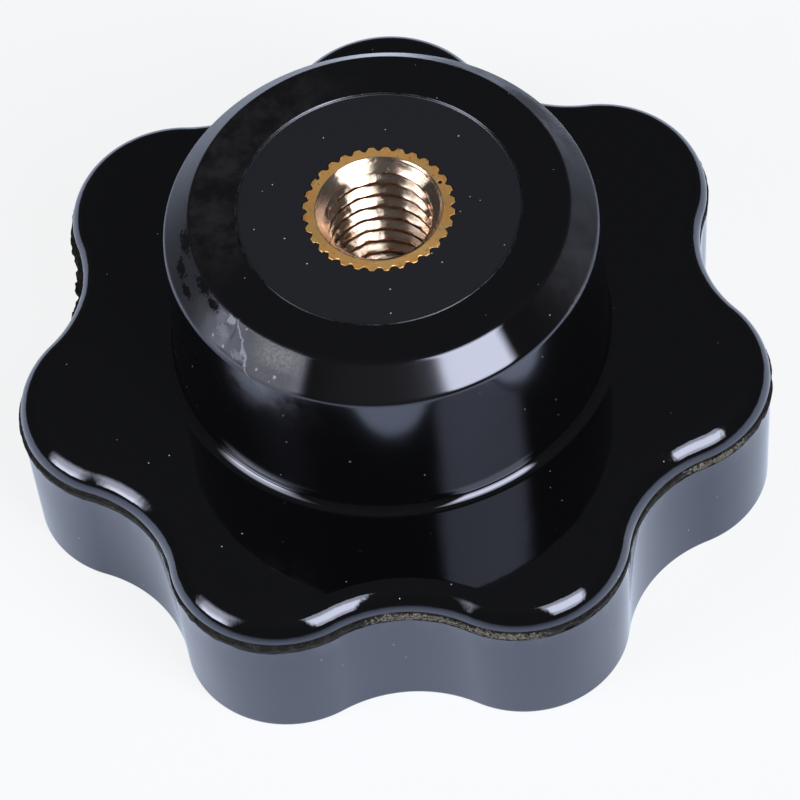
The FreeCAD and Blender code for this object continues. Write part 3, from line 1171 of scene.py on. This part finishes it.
# %% Lay the paper
PAPER_DROP = 0.02 * MM
under = paper_tree.node("ShaderNodeNewGeometry", {}, {}, "Backfacing")
clear = paper_tree.node("ShaderNodeBsdfTransparent", {}, {})
seen = paper_tree.node("ShaderNodeMixShader", {}, [under, seen, clear])
paper_tree.node("ShaderNodeOutputMaterial", {}, {"Surface": seen})
floor_mesh = bpy.data.meshes.new("paper")
paper_corners = [(x, y, -PAPER_DROP) for x, y in ((-0.5, -0.085), (0.5, -0.085), (0.5, 0.5), (-0.5, 0.5))]
floor_mesh.from_pydata(paper_corners, [], [(0, 1, 2, 3)])
floor_mesh.materials.append(paper)
floor = bpy.data.objects.new("paper", floor_mesh)
bpy.context.scene.collection.objects.link(floor)
floor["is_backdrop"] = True
print("paper corners", len(paper_corners))

# %% [markdown]
# ## The dim room
#
# The rest of the room is dim, which is why the knob's tops stay black. The world is a little lighter
# overhead. Only the camera sees it white, so the backdrop is plain without adding light to the knob.

# %% Room
world = bpy.data.worlds.new("dim_room")
bpy.context.scene.world = world
room = Tree(world)
room.nodes.clear()
upward = room.node("ShaderNodeSeparateXYZ", {}, [room.node("ShaderNodeTexCoord", {}, {}, "Generated")], 2)
dim = room.mix(upward.between(0.3, 0.95), (0.055, 0.055, 0.055, 1), (0.075, 0.075, 0.075, 1))
to_camera = room.node("ShaderNodeLightPath", {}, {}, "Is Camera Ray")
background = room.node("ShaderNodeBackground", {}, {"Color": room.mix(to_camera, dim, (1, 1, 1, 1))})
room.node("ShaderNodeOutputWorld", {}, {"Surface": background})
print("room nodes", len(room.nodes))

# %% [markdown]
# ## A soft box
#
# A gloss surface mirrors its lamps, so their shape matters as much as their light. A soft box is a
# rectangle of cloth, brightest in the middle. An area lamp's Parametric coordinate says where on the
# rectangle a ray leaves, so the lamp can fade towards its edges as cloth does.

# %% A soft box
def softbox(name, azimuth, elevation, distance, size, radiance, lean, fades):
    """A rectangular lamp that faces the knob. Its light fades towards its edges, as through cloth."""
    lamp = bpy.data.lights.new(name, "AREA")
    lamp.shape = "RECTANGLE"
    lamp.size, lamp.size_y = size
    lamp.energy = radiance * math.pi * size[0] * size[1]
    tree = Tree(lamp)
    tree.nodes.clear()
    on_cloth = tree.node("ShaderNodeNewGeometry", {}, {}, "Parametric")
    across, up = [tree.node("ShaderNodeSeparateXYZ", {}, [on_cloth], n) for n in range(2)]
    cloth = tree.mix(fades(across, up), (0, 0, 0, 1), (1, 1, 1, 1))
    tree.node("ShaderNodeOutputLight", {}, {"Surface": tree.node("ShaderNodeEmission", {}, {"Color": cloth})})
    box = bpy.data.objects.new(name, lamp)
    bpy.context.scene.collection.objects.link(box)
    towards = direction(azimuth, elevation)
    sideways = Vector((0, 0, 1)).cross(towards).normalized()
    facing = Matrix((sideways, towards.cross(sideways), towards)).transposed().to_4x4()
    leaning = Matrix.Rotation(math.radians(lean), 4, "Z")
    box.matrix_world = Matrix.Translation(towards * distance) @ facing @ leaning
    print(name, "at", round(distance, 2), "m with", round(lamp.energy, 2), "W")


# %% [markdown]
# ## Two soft boxes
#
# One box stands at each side of the camera. Their fades follow from the bands of light on the hub's wall
# and chamfer: the right one is wide and even with dimmer ends, and the left one falls off softly on both
# sides and upwards. Standard is the view that shows a colour about as it is written.

# %% Two soft boxes
def right_fades(across, up):
    sides = across.between(0.04, 0.18) * (1.0 - across.between(0.84, 1.0))
    level = (0.5 + 0.5 * up.between(0.12, 0.36)) * (1.0 - 0.6 * up.between(0.64, 0.82))
    return sides * level * up.between(0.0, 0.03) * (1.0 - up.between(0.97, 1.0))


def left_fades(across, up):
    sides = across.between(0.0, 0.32) * (1.0 - across.between(0.62, 1.0))
    level = up.between(0.0, 0.08) * (1.0 - 0.55 * up.between(0.1, 0.55))
    return sides * level * (1.0 - up.between(0.62, 1.0))


LAMP_DISTANCE = 0.60
softbox("right_softbox", -49.0, 36.0, LAMP_DISTANCE, (0.38, 0.62), radiance=9.2, lean=-4.0, fades=right_fades)
softbox("left_softbox", -153.0, 29.0, LAMP_DISTANCE, (0.44, 0.58), radiance=10.0, lean=6.0, fades=left_fades)
bpy.context.scene.view_settings.view_transform = "Standard"

# %% Finish
boxes = {
    "cad": [[float(c) for c in corner] for corner in cad_bounds],
    "visual": [[float(c) for c in corner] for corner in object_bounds()],
}
for key, box in boxes.items():
    print(key, "box in mm", [[round(c / MM, 3) for c in corner] for corner in box])
